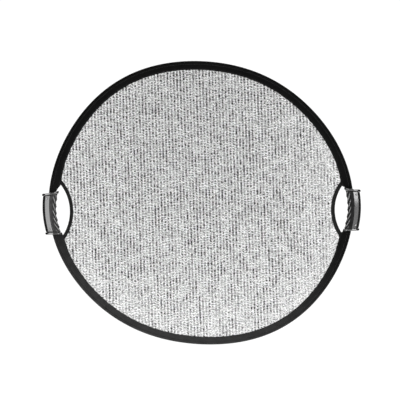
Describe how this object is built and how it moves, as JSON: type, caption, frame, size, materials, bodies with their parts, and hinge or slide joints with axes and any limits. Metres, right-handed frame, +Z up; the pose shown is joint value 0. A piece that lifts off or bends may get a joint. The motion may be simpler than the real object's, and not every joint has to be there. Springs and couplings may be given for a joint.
{
  "type": "collapsible reflector disc",
  "caption": "Double-faced silver and white cloth reflector disc stretched in a sprung steel rim, with a moulded grip at each side beside a hand cut-out",
  "frame": {"origin": "middle of the whole object's box, in the plane of the disc", "axes": "+X to the right grip seen from the silver side, +Y out of the white back, +Z up; the silver side faces -Y"},
  "size_m": [0.8661, 0.03, 0.7731],
  "materials": {
    "silver_cloth": "metallised silver cloth with a fine broken vertical rib, semi-gloss",
    "white_cloth": "plain weave, matte white",
    "black_fabric": "folded black polyester casing, slight sheen",
    "black_tape": "ribbed black binding tape",
    "spring_steel": "hard drawn strip, bright",
    "shell_plastic": "moulded black, polished",
    "grip_rubber": "dark grey moulded rubber with ribs",
    "collar_rubber": "black moulded rubber, satin",
    "zinc_steel": "zinc plated"
  },
  "bodies": {
    "left_half": {"silver_face_left": "silver_cloth", "silver_face_flex": "silver_cloth", "back_face_left": "white_cloth", "back_face_flex": "white_cloth", "rim_casing_left": "black_fabric", "rim_casing_flex_top": "black_fabric", "rim_casing_flex_bottom": "black_fabric", "spring_band_left": "spring_steel", "spring_band_flex_top": "spring_steel", "spring_band_flex_bottom": "spring_steel", "splice_sleeve": "spring_steel", "splice_rivet_1": "zinc_steel", "splice_rivet_2": "zinc_steel", "cutout_binding_left": "black_tape"},
    "right_half": {"silver_face_right": "silver_cloth", "back_face_right": "white_cloth", "rim_casing_right": "black_fabric", "spring_band_right": "spring_steel", "cutout_binding_right": "black_tape"},
    "left_grip": {"left_handle_front_shell": "shell_plastic", "left_handle_back_shell": "shell_plastic", "left_handle_grip": "grip_rubber", "left_handle_top_collar": "collar_rubber", "left_handle_bottom_collar": "collar_rubber", "left_handle_screw_1": "zinc_steel", "left_handle_screw_2": "zinc_steel", "left_handle_nut_1": "zinc_steel", "left_handle_nut_2": "zinc_steel"},
    "right_grip": {"right_handle_front_shell": "shell_plastic", "right_handle_back_shell": "shell_plastic", "right_handle_grip": "grip_rubber", "right_handle_top_collar": "collar_rubber", "right_handle_bottom_collar": "collar_rubber", "right_handle_screw_1": "zinc_steel", "right_handle_screw_2": "zinc_steel", "right_handle_nut_1": "zinc_steel", "right_handle_nut_2": "zinc_steel"}
  },
  "joints": [
    {"name": "fold", "type": "hinge", "parent": "left_half", "child": "right_half", "pos_m": [0, 0, 0], "axis": [0, 0, 1], "range_deg": [-150, 150], "stiffness_Nm_per_rad": 1.2, "deforming": ["silver_face_flex", "back_face_flex", "rim_casing_flex_top", "rim_casing_flex_bottom", "spring_band_flex_top", "spring_band_flex_bottom"]},
    {"name": "left_handle_slide", "type": "hinge", "parent": "left_half", "child": "left_grip", "pos_m": [-0.08953, 0, -0.00209], "axis": [0, 1, 0], "range_deg": [0, 1]},
    {"name": "right_handle_slide", "type": "hinge", "parent": "right_half", "child": "right_grip", "pos_m": [0.07213, 0, -0.0076], "axis": [0, -1, 0], "range_deg": [-0.8, 0.8]}
  ]
}
